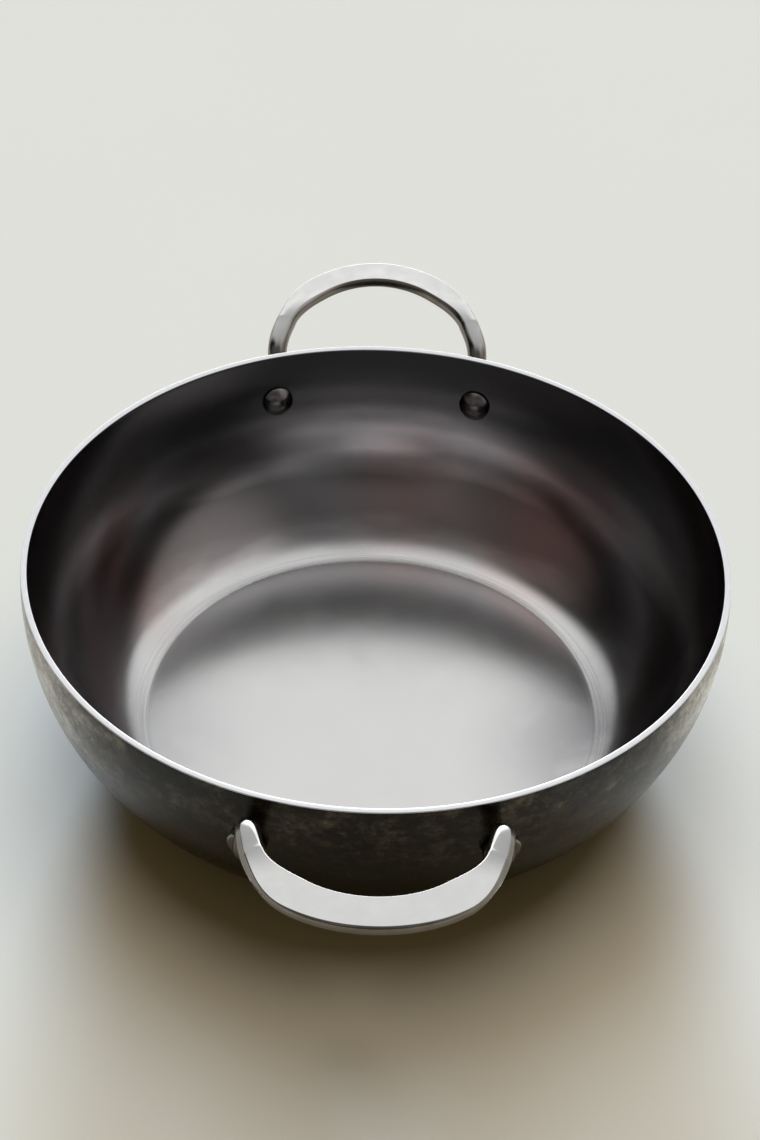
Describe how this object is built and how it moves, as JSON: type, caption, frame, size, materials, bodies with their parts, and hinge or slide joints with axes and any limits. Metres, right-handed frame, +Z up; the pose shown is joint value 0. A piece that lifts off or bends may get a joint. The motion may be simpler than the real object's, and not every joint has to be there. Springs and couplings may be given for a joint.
{
  "type": "two-handled deep pan",
  "caption": "A wide, deep round pan in dark satin steel with bowl-shaped sides, a flat floor, domed inner rivets and short polished loop handles.",
  "frame": {"origin": "The middle of the pan's flat floor, on its underside, where it stands.", "axes": "+Z is up, through the open rim. +Y runs from the front handle to the rear handle. +X is to the right of someone who faces the front handle."},
  "size_m": [0.2808, 0.394, 0.097],
  "materials": {
    "pan_steel": "dark satin, seasoned carbon steel",
    "handle_steel": "polished stainless steel",
    "rivet_steel": "dark satin"
  },
  "bodies": {
    "root": {"pan_body": "pan_steel", "front_handle": "handle_steel", "rear_handle": "handle_steel", "rivet_front_left": "rivet_steel", "rivet_front_right": "rivet_steel", "rivet_rear_left": "rivet_steel", "rivet_rear_right": "rivet_steel"}
  },
  "joints": []
}
